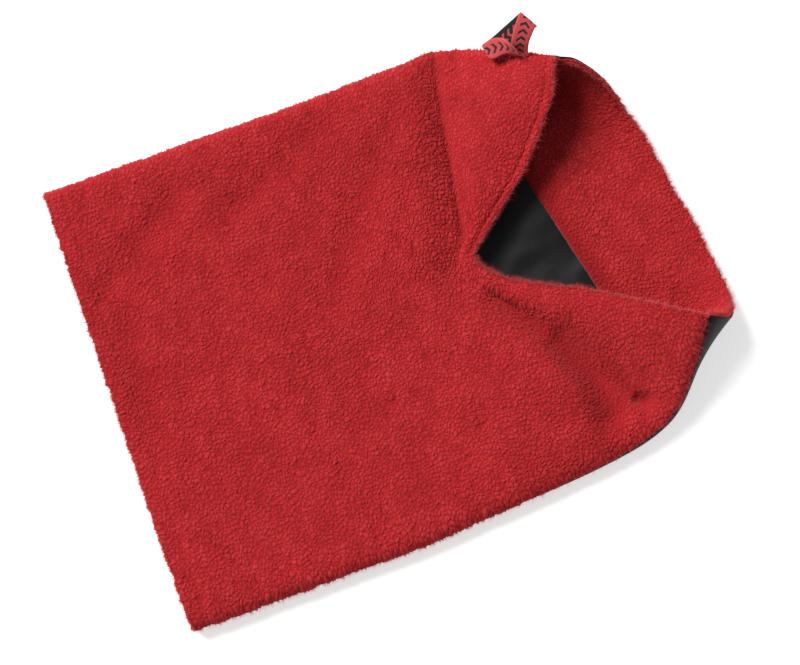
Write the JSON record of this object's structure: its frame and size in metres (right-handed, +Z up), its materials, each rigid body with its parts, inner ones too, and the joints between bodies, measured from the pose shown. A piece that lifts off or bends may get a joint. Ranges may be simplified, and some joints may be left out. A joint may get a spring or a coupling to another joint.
{
  "type": "neck gaiter",
  "caption": "Flat fabric tube worn round the neck and lower face: fleece outside in front, plain shell cloth behind, a lined inside, and a folded woven hang loop at the mouth.",
  "frame": {"origin": "middle of the part's box at the surface it lies on", "axes": "+X along the tube towards its mouth, +Y towards the side with the hang loop, +Z up from the surface it lies on"},
  "size_m": [0.3618, 0.2778, 0.0405],
  "materials": {
    "fleece": "long curly pile",
    "lining": "smooth satin",
    "shell": "plain weave, slightly matte",
    "thread": "matte",
    "dark_thread": "matte",
    "tape": "woven, matte",
    "tape_mark": "woven, matte"
  },
  "bodies": {
    "tube": {"front_fleece": "fleece", "front_lining": "lining", "back_shell": "shell", "back_lining": "lining", "mouth_facing": "fleece", "side_seam_lower": "shell", "side_seam_upper": "shell", "front_mouth_stitch": "thread", "front_end_stitch": "thread", "facing_rim_stitch": "thread", "facing_seam_stitch": "thread", "back_end_stitch": "dark_thread"},
    "loop": {"hang_loop": "tape", "loop_mark": "tape_mark", "loop_bar_tack": "dark_thread"}
  },
  "joints": [
    {"name": "loop_hinge", "type": "hinge", "parent": "tube", "child": "loop", "pos_m": [0.11456, 0.11346, 0.0255], "axis": [0.9338, -0.3579, 0], "range_deg": [-45, 12]}
  ]
}
